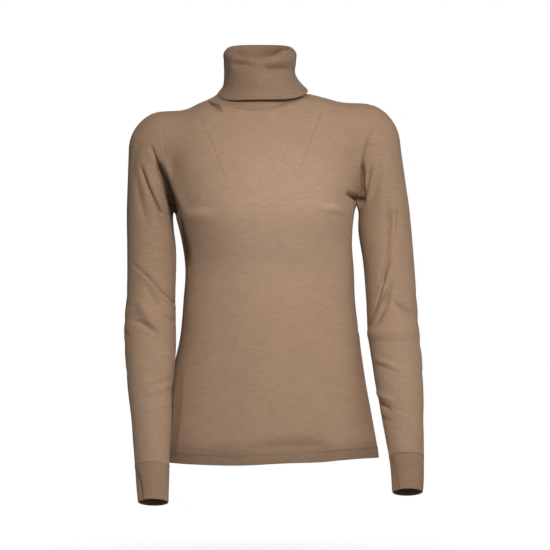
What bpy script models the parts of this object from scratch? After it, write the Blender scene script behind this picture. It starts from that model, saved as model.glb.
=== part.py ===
"""Fine-knit roll-neck pullover in its worn, hollow form. Metres, +Z up, front towards -Y.

Each cut piece is a thin closed wall. Its middle surface lies on one smooth form, worked out from
the section tables below, and the seams between pieces are shared rows of points. Left and right
are as worn, so the left sleeve is at +X. Every size in the tables and functions is in millimetres.
"""

import bpy
import numpy as np

METRES = 0.001

JERSEY_WALL = 1.5
COLLAR_WALL = 2.0
RIB_WALL = 2.0
WELT_WALL = 2.2
SEAM_GAP = 0.3

WELT_HEIGHT = 16.0
FOREARM_SLOPE = 0.34

# The skeleton inside the trunk, from which its surface is unrolled.
TRUNK_MIDDLE = 8.0
SHOULDER_DEPTH = 2.0
CAP_HEIGHT = -90.0
CAP_SPREAD = 80.0
SIDE_SPREAD = 46.0
NECK_LEAN = 22.0

UNDERARM_REACH = -240.0
FAN_END = -200.0

NECK_COLUMNS = 14
SHOULDER_COLUMNS = 4
ARMHOLE_ROWS = 9
SIDE_ROWS = 12
HEAD_RINGS = 7
SLEEVE_RINGS = 13
CUFF_RINGS = 3

CAMEL = (0.42, 0.27, 0.17, 1.0)
CAMEL_RIB = (0.38, 0.24, 0.15, 1.0)


def table(names, *rows):
    """Rows of numbers under named columns, as one array for each column."""
    return dict(zip(names.split(), np.array(rows, float).T))


# Trunk sections: side edges (x), front and back (y) at each height.
TRUNK = table(
    "height right left front back",
    (-640, -165, 188, -106, 102),
    (-571, -160, 183.5, -108, 103),
    (-512, -153.5, 174, -109, 104),
    (-449, -144, 163, -106, 100),
    (-386, -130, 153.5, -100, 90),
    (-322, -123.5, 145.5, -93, 77),
    (-275, -120.5, 144, -93, 72),
    (-228, -127, 141, -104.5, 78),
    (-190, -134.4, 143.3, -112, 85.5),
    (-160, -140, 149, -111.5, 89.5),
    (-130, -146.3, 156.5, -106, 91.5),
    (-100, -154, 163, -97.5, 91),
    (-50, -168, 176, -84, 86),
    (60, -175, 182, -74, 80),
)

# Half length of the skeleton's cross-piece at each height.
CROSS_PIECE = table(
    "height half_length",
    (-640, 112), (-500, 108), (-386, 100), (-275, 92), (-215, 98), (-180, 116), (-120, 164),
    (-90, 172),
)

# Height of the shoulder line from side to side.
SHOULDER_LINE = table(
    "across height",
    (-240, -70),
    (-190, -44),
    (-150, -34.5),
    (-120, -23),
    (-95, -11),
    (-60, 2),
    (0, 8),
    (60, 6),
    (95, -3),
    (122, -11),
    (150, -19.5),
    (185, -29),
    (245, -56),
)

# Arm sections: centre (x, y), half width and half depth at each height.
RIGHT_ARM = table(
    "height across depth half_width half_depth",
    (-660, -165.0, -111, 22.0, 24.0),
    (-629, -166.7, -101, 22.7, 25.0),
    (-599, -168.1, -91, 24.7, 26.5),
    (-574, -169.0, -83, 26.0, 28.0),
    (-540, -170.0, -73, 28.4, 31.0),
    (-509, -170.6, -65, 30.4, 33.0),
    (-464, -173.6, -53, 33.4, 36.0),
    (-433, -173.6, -45, 36.4, 39.0),
    (-402, -173.8, -37, 39.2, 42.0),
    (-354, -175.2, -24, 40.0, 44.0),
    (-322, -174.6, -16, 38.2, 44.0),
    (-243, -174.4, 0, 37.9, 46.0),
    (-180, -177.5, 5, 35.6, 47.0),
    (-130, -170.5, 5, 41.0, 49.0),
    (-85, -160.0, 4, 49.5, 52.0),
    (0, -156.0, 4, 52.0, 52.0),
)
LEFT_ARM = table(
    "height across depth half_width half_depth",
    (-660, 222.5, -112, 21.6, 23.6),
    (-623, 224.3, -99, 22.4, 25.0),
    (-599, 225.0, -92, 23.9, 26.5),
    (-569, 224.3, -82, 25.7, 28.0),
    (-540, 222.2, -72, 28.7, 31.0),
    (-509, 219.1, -62, 31.4, 33.0),
    (-479, 216.8, -54, 34.4, 36.0),
    (-448, 213.6, -46, 37.0, 39.0),
    (-417, 211.1, -38, 38.7, 42.0),
    (-386, 207.6, -30, 39.6, 44.0),
    (-322, 203.8, -16, 38.9, 44.0),
    (-259, 199.7, -2, 39.4, 46.0),
    (-211, 194.8, 4, 41.2, 47.0),
    (-180, 193.5, 5, 39.6, 48.0),
    (-130, 182.0, 5, 43.5, 49.0),
    (-75, 166.0, 4, 51.5, 52.0),
    (0, 162.0, 4, 53.5, 52.0),
)
SLEEVE_CAP = {"right": (-85.0, 58.0), "left": (-75.0, 59.0)}

# Where the armhole seam runs from side to side, by its angle: -90 underarm, 0 front or back, 90 top.
# Its lower half leans outwards in front and inwards behind, along the crease under the arm.
RIGHT_ARMHOLE = table("angle across", (-90, -139), (-60, -142), (-30, -147), (0, -151), (90, -155))
LEFT_ARMHOLE = table(
    "angle across",
    (-90, 149), (-70, 150.5), (-30, 155), (0, 160), (45, 169), (90, 171),
)
ARMHOLE_HEIGHT = -97.0
ARMHOLE_LEAN = 2.6

# The neckline seam's reach from its middle and its heights.
NECK_MIDDLE = -3.0
NECKLINE = {"front": -67.0, "right": -84.0, "left": 82.0, "back": 55.0}
NECK_HEIGHT = {"front": -31.0, "right": -6.5, "left": 1.5, "back": 12.0}

# The welt's lower edge along each panel, from -1 at the right side seam to 1 at the left.
HEM = table(
    "share front back",
    (-1, -574.5, -574.5),
    (-0.33, -574.8, -573),
    (0.1, -571.5, -572),
    (0.43, -570.5, -571),
    (0.72, -567.5, -571),
    (1, -571, -571),
)
SIDE_SEAM_FORWARD = {"right": 22.0, "left": 3.0}

# The collar, from its foot at the neckline up the stand, over the roll and down the fall.
COLLAR = table(
    "right left front back front_height right_height left_height back_height",
    (-66, 60, -61, 56, -20, 4, 4, 21),
    (-54, 48, -53, 51, -4, 16, 16, 32),
    (-51, 44, -49, 47, 20, 36, 36, 52),
    (-50.5, 43.5, -47.5, 45, 44, 60, 60, 71),
    (-51.5, 44.5, -48.5, 45.5, 53, 70, 70, 81),
    (-55, 48, -52.5, 49.5, 56.5, 74.5, 74.5, 85),
    (-59, 52.5, -56.5, 53.5, 51.5, 69, 69, 80),
    (-59.5, 53, -57.5, 54.5, 38, 55, 55, 66),
    (-59, 52, -58, 56, 18, 34, 36, 51),
    (-61.5, 61, -60.5, 60, 2, 15, 20, 36),
    (-71, 73, -66, 66, -11.5, 1, 7, 23),
)

CUFF_LINE = {"right": -577.0, "left": -563.0}
CUFF_END = {"right": -631.5, "left": -616.5}


def curve(rows, column, at):
    """A smooth curve through one column of a table, read along the table's first column."""
    key = next(iter(rows))
    stops, values = rows[key], rows[column]
    slopes = np.gradient(values, stops)
    low = np.clip(np.searchsorted(stops, at) - 1, 0, len(stops) - 2)
    span = stops[low + 1] - stops[low]
    t = np.clip((at - stops[low]) / span, 0.0, 1.0)
    rise = (
        (1 + 2 * t) * (1 - t) ** 2 * values[low]
        + t**2 * (3 - 2 * t) * values[low + 1]
    )
    lean = t * (1 - t) ** 2 * slopes[low] - t**2 * (1 - t) * slopes[low + 1]
    return rise + span * lean


def ease(low, high, at):
    """0 below low, 1 above high and a smooth step between them."""
    t = np.clip((at - low) / (high - low), 0.0, 1.0)
    return t * t * (3 - 2 * t)


def smooth_min(a, b, radius):
    """The smaller of two distances, rounded over where they are closer than the radius."""
    near = np.maximum(radius - np.abs(a - b), 0.0) / radius
    return np.minimum(a, b) - near * near * radius / 4


def oval(dx, dy, half_width, half_depth, power=2.0, lift=0.0):
    """Rough distance from an oval section, positive outside. lift adds a dome's third term."""
    flat = np.abs(dx / half_width) ** power + np.abs(dy / half_depth) ** power
    size = (flat + lift) ** (1 / power)
    slope = np.hypot(dx / half_width**2, dy / half_depth**2)
    slope = np.hypot(slope, np.sqrt(lift) / 58.0)
    return (size - 1) * np.maximum(size, 1e-6) / np.maximum(slope, 1e-6)


def trunk(points):
    """Rough distance from the trunk: its column of sections under the sloping shoulder roof."""
    x, y, z = np.moveaxis(points, -1, 0)
    right, left = curve(TRUNK, "right", z), curve(TRUNK, "left", z)
    front, back = curve(TRUNK, "front", z), curve(TRUNK, "back", z)
    half_depth = np.where(y < 0, -front, back)
    column = oval(x - (left + right) / 2, y, (left - right) / 2, half_depth, 2.3)
    roof_height = 95.0
    over = (z - curve(SHOULDER_LINE, "height", x)) / roof_height + 1
    roof = (np.hypot(y / (half_depth + 6), np.maximum(over, 0)) - 1 + np.minimum(over, 0)) * roof_height
    under_roof = -smooth_min(-column, -roof, 30.0)
    neck = oval(x - NECK_MIDDLE, y - SHOULDER_DEPTH - 0.1 * z, 60.0, 53.0)
    neck = np.maximum(neck, z - 60.0)
    return smooth_min(under_roof, neck, 26.0)


def arm(side, points):
    """Rough distance from one arm: a tube of oval sections with a rounded head."""
    rows = RIGHT_ARM if side == "right" else LEFT_ARM
    cap_height, cap_rise = SLEEVE_CAP[side]
    x, y, z = np.moveaxis(points, -1, 0)
    lift = (np.maximum(z - cap_height, 0.0) / cap_rise) ** 2
    return oval(
        x - curve(rows, "across", z),
        y - curve(rows, "depth", z),
        curve(rows, "half_width", z),
        curve(rows, "half_depth", z),
        lift=lift,
    )


def worn_form(points):
    """Rough distance from trunk and arms together, closely joined underarm and softly above."""
    z = points[..., 2]
    blend = 0.5 + 12.5 * ease(UNDERARM_REACH, -205.0, z) + 13 * ease(-160.0, -80.0, z)
    joined = smooth_min(trunk(points), arm("right", points), blend)
    return smooth_min(joined, arm("left", points), blend)


def panel_form(points):
    """The form that front and back lie on: the trunk alone below the underarms."""
    return np.where(points[..., 2] > UNDERARM_REACH, worn_form(points), trunk(points))


def sleeve_form(side):
    """The form that a sleeve lies on: the arm alone below the underarm."""

    def form(points):
        low = points[..., 2] < UNDERARM_REACH
        return np.where(low, arm(side, points), worn_form(points))

    return form


def meet(form, start, direction):
    """Where rays that start inside a form first leave it."""
    direction = direction / np.linalg.norm(direction, axis=-1, keepdims=True)
    reach = np.zeros(np.broadcast(start, direction).shape[:-1])
    for _ in range(90):
        reach = reach - 0.7 * form(start + reach[..., None] * direction)
    return start + reach[..., None] * direction


def outward(form, points):
    """Unit normals of a form, from its slope along each axis."""
    steps = 0.5 * np.eye(3)
    slope = np.stack([form(points + s) - form(points - s) for s in steps], axis=-1)
    return slope / np.linalg.norm(slope, axis=-1, keepdims=True)


def round_height(bearing_sine, bearing_cosine, front, side, back):
    """Height round a ring that is given at its front, its sides and its back."""
    middle = (front + back) / 2
    return middle + (back - front) / 2 * bearing_sine + (side - middle) * bearing_cosine**2


def neckline():
    """The neckline seam as a closed ring, from the right side round the front and the back."""
    turn = np.pi + np.arange(2 * NECK_COLUMNS) * np.pi / NECK_COLUMNS
    cosine, sine = np.cos(turn), np.sin(turn)
    across = np.where(cosine < 0, NECKLINE["right"], -NECKLINE["left"]) * -cosine
    depth = np.where(sine < 0, -NECKLINE["front"], NECKLINE["back"]) * sine
    side = np.where(cosine < 0, NECK_HEIGHT["right"], NECK_HEIGHT["left"])
    height = round_height(sine, cosine, NECK_HEIGHT["front"], side, NECK_HEIGHT["back"])
    drop = 45 - 35 * np.maximum(sine, 0)
    middle = np.stack([0 * turn + NECK_MIDDLE, 0 * turn + SHOULDER_DEPTH, height - drop], axis=-1)
    aside = np.stack([across, depth, 0 * turn], axis=-1) / 2
    return meet(worn_form, middle + aside, aside + drop[:, None] * np.array([0.0, 0.0, 1.0]))


def armhole(side):
    """One armhole seam as a closed ring, from its top down the front and up the back."""
    rows = RIGHT_ARMHOLE if side == "right" else LEFT_ARMHOLE
    turn = np.pi / 2 + np.pi * np.arange(2 * ARMHOLE_ROWS) / ARMHOLE_ROWS
    tilt = np.degrees(np.arcsin(np.clip(np.sin(turn), -1, 1)))
    across = curve(rows, "across", tilt)
    lean = ARMHOLE_LEAN * np.cos(turn) * np.minimum(np.sin(turn), 0)
    across += np.sign(across) * lean
    start = np.stack([across, 0 * across + SHOULDER_DEPTH, 0 * across + ARMHOLE_HEIGHT], axis=-1)
    direction = np.stack([np.zeros_like(turn), np.cos(turn), np.sin(turn)], axis=-1)
    return meet(worn_form, start, direction)


def unroll(points, facing):
    """Distance across and height on the trunk unrolled from its skeleton's cross-piece.

    facing is -1 in front and 1 behind. Beyond the cross-piece's end the surface is unrolled by
    bearing, and above the cap height by tilt.
    """
    x, y, z = np.moveaxis(points, -1, 0)
    level = np.minimum(z, CAP_HEIGHT)
    half_length = curve(CROSS_PIECE, "half_length", level)
    middle = np.clip(x - TRUNK_MIDDLE, -half_length, half_length)
    aside, forward = x - TRUNK_MIDDLE - middle, facing * (y - SHOULDER_DEPTH)
    bearing = np.arctan2(aside, np.maximum(forward, 0.0))
    tilt = np.arctan2(np.maximum(z - CAP_HEIGHT, 0.0), np.hypot(aside, forward))
    return np.stack([middle + SIDE_SPREAD * bearing, level + CAP_SPREAD * tilt], axis=-1)


def roll_up(form, flat, facing):
    """The points of a form whose unrolled places are given."""
    across, height = np.moveaxis(flat, -1, 0)
    level = np.minimum(height, CAP_HEIGHT)
    tilt = (height - level) / CAP_SPREAD
    half_length = curve(CROSS_PIECE, "half_length", level)
    middle = np.clip(across, -half_length, half_length)
    bearing = (across - middle) / SIDE_SPREAD
    start = np.stack([TRUNK_MIDDLE + middle, 0 * across + SHOULDER_DEPTH, level], axis=-1)
    forward = facing * np.cos(bearing) * np.cos(tilt)
    direction = np.stack([np.sin(bearing) * np.cos(tilt), forward, np.sin(tilt)], axis=-1)
    return meet(form, start, direction)


def side_seam(side, underarm):
    """The side seam from the underarm down to the welt, drifting forward as it goes."""
    sign = -1 if side == "right" else 1
    hem = curve(HEM, "front", sign) + WELT_HEIGHT
    share = np.arange(1, SIDE_ROWS + 1) / SIDE_ROWS
    height = underarm[2] + share * (hem - underarm[2])
    bearing = np.pi / 2 - np.radians(SIDE_SEAM_FORWARD[side]) * ease(0.3, 1.0, share)
    across = curve(CROSS_PIECE, "half_length", height) + SIDE_SPREAD * bearing
    return roll_up(panel_form, np.stack([sign * across, height], axis=-1), -1)


def shoulder_seam(neck_point, top):
    """The points of a shoulder seam between the neckline and the armhole's top."""
    share = np.arange(1, SHOULDER_COLUMNS) / SHOULDER_COLUMNS
    across = neck_point[0] + share * (top[0] - neck_point[0])
    start = np.stack([across, 0 * across + SHOULDER_DEPTH, 0 * across + CAP_HEIGHT], axis=-1)
    return meet(worn_form, start, np.array([0.0, 0.0, 1.0]))


def fill(form, right, left, top, bottom, facing):
    """A panel's grid: its four edges blended in the unrolled plane and put back on the form.

    Columns beside the neck lean outwards below it, clear of the neckline's steep ends.
    """
    r, l, t, b = (unroll(edge, facing) for edge in (right, left, top, bottom))
    u = np.linspace(0, 1, len(top))[None, :, None]
    v = np.linspace(0, 1, len(right))[:, None, None]
    across = (1 - u) * r[:, None] + u * l[:, None]
    down = (1 - v) * t[None] + v * b[None]
    corners = (1 - v) * ((1 - u) * t[0] + u * t[-1]) + v * ((1 - u) * b[0] + u * b[-1])
    flat = across + down - corners
    shoulder = SHOULDER_COLUMNS / (len(top) - 1)
    middle = np.minimum(u, 1 - u)
    beside_neck = ease(0, shoulder, middle) * (1 - ease(shoulder, 0.5, middle))
    below = np.sin(np.pi / 2 * np.minimum(v / 0.2, 1)) * (1 - ease(0.5, 1, v))
    flat[..., 0] += (NECK_LEAN * np.sign(u - 0.5) * beside_neck * below)[..., 0]
    grid = roll_up(form, flat, facing)
    grid[:, 0], grid[:, -1], grid[0], grid[-1] = right, left, top, bottom
    return grid


def panel(facing, neck, right_ring, left_ring):
    """A panel's grid from its four edges: top seams, sides and the line of its welt."""
    half = slice(0, NECK_COLUMNS + 1)
    if facing > 0:
        neck = np.roll(neck[::-1], 1, axis=0)
        right_ring = np.roll(right_ring[::-1], 1, axis=0)
        left_ring = np.roll(left_ring[::-1], 1, axis=0)
    neck = neck[half]
    right_shoulder = shoulder_seam(neck[0], right_ring[0])[::-1]
    left_shoulder = shoulder_seam(neck[-1], left_ring[0])
    top = np.concatenate([right_ring[:1], right_shoulder, neck, left_shoulder, left_ring[:1]])
    sides = []
    for side, ring in (("right", right_ring), ("left", left_ring)):
        seam = side_seam(side, ring[ARMHOLE_ROWS])
        sides.append(np.concatenate([ring[: ARMHOLE_ROWS + 1], seam]))
    right, left = sides
    ends = unroll(np.stack([right[-1], left[-1]]), facing)
    share = np.linspace(-1, 1, len(top))
    across = ends[0, 0] + (share + 1) / 2 * (ends[1, 0] - ends[0, 0])
    height = curve(HEM, "front" if facing < 0 else "back", share) + WELT_HEIGHT
    bottom = roll_up(panel_form, np.stack([across, height], axis=-1), facing)
    bottom[0], bottom[-1] = right[-1], left[-1]
    return fill(panel_form, right, left, top, bottom, facing)


def sleeve(side, ring):
    """A sleeve's rings: a fan from the armhole round the underarm, then down to the cuff."""
    rows = RIGHT_ARM if side == "right" else LEFT_ARM
    form = sleeve_form(side)
    turn = np.pi / 2 + 2 * np.pi * np.arange(len(ring)) / len(ring)
    start = ring.mean(axis=0)
    end = np.array([curve(rows, "across", FAN_END), curve(rows, "depth", FAN_END), FAN_END])
    elbow_side = np.array([curve(rows, "across", -110.0), start[1], -110.0])
    last = arm_ring(side, FAN_END, 0.0, turn, form)
    over = ((1 + np.sin(turn)) / 2)[:, None]
    crown = np.stack([last[:, 0], (ring[:, 1] + last[:, 1]) / 2, ring[:, 2] - 12], axis=-1)
    bend = (1 - over) * (ring + last) / 2 + over * crown
    rings = [ring]
    for share in np.arange(1, HEAD_RINGS) / HEAD_RINGS:
        parts = ((1 - share) ** 2, 2 * share * (1 - share), share**2)
        centre = parts[0] * start + parts[1] * elbow_side + parts[2] * end
        aim = parts[0] * ring + parts[1] * bend + parts[2] * last
        rings.append(meet(form, centre, aim - centre))
    rings.append(last)
    for share in np.arange(1, SLEEVE_RINGS + 1) / SLEEVE_RINGS:
        height = FAN_END + share * (CUFF_LINE[side] - FAN_END)
        rings.append(arm_ring(side, height, FOREARM_SLOPE * ease(0.2, 1.0, share), turn, form))
    return np.stack(rings)


def arm_ring(side, height, slope, turn, form):
    """One ring square to the arm, whose front is raised by the arm's forward slope."""
    rows = RIGHT_ARM if side == "right" else LEFT_ARM
    out = -1.0 if side == "right" else 1.0
    centre = np.array([curve(rows, "across", height), curve(rows, "depth", height), height])
    direction = np.stack([out * np.sin(turn), np.cos(turn), -slope * np.cos(turn)], axis=-1)
    return meet(form, centre, direction)


def cuff(side, first):
    """A cuff's rings from the sleeve's last ring to the open wrist edge."""
    turn = np.pi / 2 + 2 * np.pi * np.arange(len(first)) / len(first)
    rings = [first]
    for share in np.arange(1, CUFF_RINGS + 1) / CUFF_RINGS:
        height = CUFF_LINE[side] + share * (CUFF_END[side] - CUFF_LINE[side])
        rings.append(arm_ring(side, height, FOREARM_SLOPE, turn, sleeve_form(side)))
    return np.stack(rings)


def collar(neck):
    """The collar's rings from the neckline up the stand, over the roll and down the fall."""
    turn = np.pi + np.arange(len(neck)) * 2 * np.pi / len(neck)
    cosine, sine = np.cos(turn), np.sin(turn)
    rings = [neck]
    for row in zip(*COLLAR.values()):
        right, left, front, back, front_height, right_height, left_height, back_height = row
        across = (left + right) / 2 + (left - right) / 2 * cosine
        depth = np.where(sine < 0, -front, back) * sine
        side_height = np.where(cosine < 0, right_height, left_height)
        height = round_height(sine, cosine, front_height, side_height, back_height)
        rings.append(np.stack([across, depth, height], axis=-1))
    return np.stack(rings)


def grid_normals(grid, closed):
    """Unit normals of a grid from its two directions, over the seam where it is closed."""
    if closed:
        around = np.roll(grid, -1, axis=1) - np.roll(grid, 1, axis=1)
    else:
        around = np.gradient(grid, axis=1)
    normal = np.cross(np.gradient(grid, axis=0), around)
    return normal / np.linalg.norm(normal, axis=-1, keepdims=True)


def trimmed(grid, normals, closed):
    """A grid whose edges are drawn in by half the seam gap, square to each edge."""
    grid = grid.copy()
    whole = grid.copy()
    edges = [(0, 1), (-1, -2)]
    for at, inner in edges:
        along = np.gradient(whole[at], axis=0)
        if closed:
            along = np.roll(whole[at], -1, axis=0) - np.roll(whole[at], 1, axis=0)
        grid[at] += drawn_in(along, normals[at], whole[inner] - whole[at])
    if not closed:
        for at, inner in edges:
            along = np.gradient(whole[:, at], axis=0)
            grid[:, at] += drawn_in(along, normals[:, at], whole[:, inner] - whole[:, at])
    return grid


def drawn_in(along, normal, inwards):
    """Half the seam gap, square to an edge and lying in the cloth."""
    square = np.cross(along, normal)
    square /= np.linalg.norm(square, axis=-1, keepdims=True)
    sign = np.sign(np.sum(square * inwards, axis=-1, keepdims=True))
    return SEAM_GAP / 2 * sign * square


def split(points, index, under):
    """The grid's cells as triangles of both faces, cut along the diagonal that bends least.

    under is the step in point numbers from the outer face to the inner one.
    """
    cells = np.stack([index[:-1, :-1], index[1:, :-1], index[1:, 1:], index[:-1, 1:]], axis=-1)
    cells = cells.reshape(-1, 4)
    straight = []
    for order in ((0, 1, 2, 3), (1, 2, 3, 0)):
        a, b, c, d = (points[cells[:, at]] for at in order)
        first, second = np.cross(b - a, c - a), np.cross(c - a, d - a)
        lengths = np.linalg.norm(first, axis=-1) * np.linalg.norm(second, axis=-1)
        straight.append(np.sum(first * second, axis=-1) / lengths)
    turned = np.where((straight[1] > straight[0])[:, None], np.roll(cells, -1, axis=1), cells)
    outer = np.concatenate([turned[:, [0, 1, 2]], turned[:, [0, 2, 3]]])
    return [outer, outer[:, ::-1] + under]


def wall(name, grid, normals, thickness, closed, material):
    """One object: the grid given a wall, with rims along its open edges."""
    grid = trimmed(grid, normals, closed)
    rows, columns = grid.shape[:2]
    outer = grid + normals * thickness / 2
    inner = grid - normals * thickness / 2
    points = np.concatenate([outer.reshape(-1, 3), inner.reshape(-1, 3)]) * METRES
    index = np.arange(rows * columns).reshape(rows, columns)
    if closed:
        index = np.concatenate([index, index[:, :1]], axis=1)
    under = index + rows * columns
    faces = split(grid.reshape(-1, 3), index, rows * columns)
    rims = [(index[0], under[0], False), (index[-1], under[-1], True)]
    if not closed:
        rims += [(index[:, 0], under[:, 0], True), (index[:, -1], under[:, -1], False)]
    for top, bottom, flip in rims:
        first = np.stack([top[:-1], top[1:], bottom[1:]], axis=-1)
        second = np.stack([top[:-1], bottom[1:], bottom[:-1]], axis=-1)
        rim = np.concatenate([first, second])
        faces.append(rim[:, ::-1] if flip else rim)
    mesh = bpy.data.meshes.new(name)
    mesh.from_pydata(points.tolist(), [], np.concatenate(faces).tolist())
    mesh.materials.append(material)
    mesh.shade_smooth()
    mesh.set_sharp_from_angle(angle=np.radians(50))
    piece = bpy.data.objects.new(name, mesh)
    bpy.context.scene.collection.objects.link(piece)
    return piece


def knit(name, colour, roughness):
    """A plain knitted finish."""
    material = bpy.data.materials.new(name)
    material.use_nodes = True
    shader = material.node_tree.nodes["Principled BSDF"]
    shader.inputs["Base Color"].default_value = colour
    shader.inputs["Roughness"].default_value = roughness
    shader.inputs["Metallic"].default_value = 0.0
    return material


def welt(grid, facing):
    """A welt's two rows: the panel's last row and the lower edge under it.

    The ends stand on the side seams, which both welts find from the front.
    """
    top = grid[-1]
    bottom = lowered(top, facing)
    bottom[[0, -1]] = lowered(top[[0, -1]], -1)
    return np.stack([top, bottom])


def lowered(points, facing):
    """Points of a panel's lower edge moved down by the welt's height, on the form."""
    flat = unroll(points, facing)
    flat[:, 1] -= WELT_HEIGHT
    return roll_up(panel_form, flat, facing)


def build():
    """Make every piece of the pullover."""
    jersey = knit("jersey", CAMEL, 0.85)
    rib = knit("rib", CAMEL_RIB, 0.9)
    neck, right_ring, left_ring = neckline(), armhole("right"), armhole("left")
    for name, facing in (("front", -1), ("back", 1)):
        grid = panel(facing, neck, right_ring, left_ring)
        band = welt(grid, facing)
        if facing > 0:
            grid, band = grid[:, ::-1], band[:, ::-1]
        wall(name, grid, outward(panel_form, grid), JERSEY_WALL, False, jersey)
        wall("hem_" + name, band, outward(panel_form, band), WELT_WALL, False, rib)
    for side, ring in (("right", right_ring), ("left", left_ring)):
        grid = sleeve(side, ring)
        band = cuff(side, grid[-1])
        if side == "left":
            grid, band = grid[:, ::-1], band[:, ::-1]
        form = sleeve_form(side)
        wall("sleeve_" + side, grid, outward(form, grid), JERSEY_WALL, True, jersey)
        wall("cuff_" + side, band, outward(form, band), RIB_WALL, True, rib)
    grid = collar(neck)[:, ::-1]
    normals = grid_normals(grid, True)
    normals[0] = outward(worn_form, grid[0])
    wall("collar", grid, normals, COLLAR_WALL, True, jersey)


for old in list(bpy.data.objects):
    bpy.data.objects.remove(old)
build()
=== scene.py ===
from functools import partial

import bpy
import numpy as np
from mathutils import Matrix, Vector


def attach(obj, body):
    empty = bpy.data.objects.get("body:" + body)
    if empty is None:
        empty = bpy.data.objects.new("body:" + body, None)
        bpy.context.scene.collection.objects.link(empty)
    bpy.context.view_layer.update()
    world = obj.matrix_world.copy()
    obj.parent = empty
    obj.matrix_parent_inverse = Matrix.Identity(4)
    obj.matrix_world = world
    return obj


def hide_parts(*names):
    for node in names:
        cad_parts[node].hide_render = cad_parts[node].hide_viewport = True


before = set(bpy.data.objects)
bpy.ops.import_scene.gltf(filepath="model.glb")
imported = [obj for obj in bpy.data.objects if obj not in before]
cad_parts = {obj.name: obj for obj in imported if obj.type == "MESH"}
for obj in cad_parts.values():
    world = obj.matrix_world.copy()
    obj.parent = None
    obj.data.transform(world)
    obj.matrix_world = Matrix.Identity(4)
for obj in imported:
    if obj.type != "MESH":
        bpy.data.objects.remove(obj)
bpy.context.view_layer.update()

# Every size below is in millimetres unless it says otherwise. +Z is up and the front faces -Y.
MM = 0.001


# ---- Front panel ----
# One piece of fine plain-knit wool, shaped at the waist and armholes and linked at the shoulders,
# sides and neckline. It is filled out, so it takes the trunk's form with soft creases pressed in.


def table(names, *rows):
    """Rows of numbers under named columns, as one array for each column."""
    return dict(zip(names.split(), np.array(rows, float).T))


def as_points(*coordinates):
    """Points from their coordinates, each an array or one number for all of them."""
    return np.stack(np.broadcast_arrays(*coordinates), axis=-1)


def unit(vectors):
    """Vectors scaled to a length of 1."""
    return vectors / np.linalg.norm(vectors, axis=-1, keepdims=True)


def cubic(stops, values, at):
    """A smooth cubic through values given at stops, with slopes from their neighbours."""
    slopes = np.gradient(values, stops, axis=0)
    low = np.clip(np.searchsorted(stops, at) - 1, 0, len(stops) - 2)
    shape = low.shape + (1,) * (values.ndim - 1)
    span = (stops[low + 1] - stops[low]).reshape(shape)
    t = np.clip((at - stops[low]).reshape(shape) / span, 0.0, 1.0)
    rise = (1 + 2 * t) * (1 - t) ** 2 * values[low] + t**2 * (3 - 2 * t) * values[low + 1]
    lean = t * (1 - t) ** 2 * slopes[low] - t**2 * (1 - t) * slopes[low + 1]
    return rise + span * lean


def curve(rows, column, at):
    """A smooth cubic through one column of a table, read along the table's first column."""
    return cubic(next(iter(rows.values())), rows[column], at)


def ease(low, high, at):
    """0 below low, 1 above high and a smooth step between them."""
    t = np.clip((at - low) / (high - low), 0.0, 1.0)
    return t * t * (3 - 2 * t)


def smooth_min(a, b, radius):
    """The smaller of two distances, rounded over where they are closer than the radius."""
    near = np.maximum(radius - np.abs(a - b), 0.0) / radius
    return np.minimum(a, b) - near * near * radius / 4


# Trunk sections, a little squarer than ellipses: side edges (x), front and back (y).
SQUARENESS = 2.3
TRUNK = table(
    "height right left front back",
    (-640, -165, 188, -106, 102), (-571, -160, 183.5, -108, 103),
    (-512, -153.5, 174, -109, 104), (-449, -144, 163, -106, 100),
    (-386, -130, 153.5, -100, 90), (-322, -123.5, 145.5, -93, 77),
    (-275, -120.5, 144, -93, 72), (-228, -127, 141, -104.5, 78),
    (-190, -134.4, 143.3, -112, 85.5), (-160, -140, 149, -111.5, 89.5),
    (-130, -146.3, 156.5, -106, 91.5), (-100, -154, 163, -97.5, 91),
    (-50, -168, 176, -84, 86), (60, -175, 182, -74, 80),
)

# The trunk is unrolled from a cross-piece inside it: beyond its ends by bearing and above the cap
# height by tilt, each at a spread of so many millimetres a radian.
CROSS_PIECE = table(
    "height half_length",
    (-640, 112), (-500, 108), (-386, 100), (-275, 92), (-215, 98), (-180, 116), (-120, 164),
    (-90, 172),
)
TRUNK_MIDDLE = 8.0
SHOULDER_DEPTH = 2.0
CAP_HEIGHT = -90.0
CAP_SPREAD = 80.0
SIDE_SPREAD = 46.0

# Height of the shoulder line from side to side, and the rounded roof that ends the trunk there.
SHOULDER_LINE = table(
    "across height",
    (-240, -70), (-190, -44), (-150, -34.5), (-120, -23), (-95, -11), (-60, 2), (0, 8), (60, 6),
    (95, -3), (122, -11), (150, -19.5), (185, -29), (245, -56),
)
ROOF_HEIGHT = 95.0
ROOF_OVERHANG = 6.0
ROOF_ROUNDING = 30.0

# The neck that carries the collar: a leaning oval column.
NECK_MIDDLE = -3.0
NECK_HALF_WIDTH = 60.0
NECK_HALF_DEPTH = 53.0
NECK_TOP = 60.0
NECK_TILT = 0.1
NECK_ROUNDING = 26.0

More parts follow.
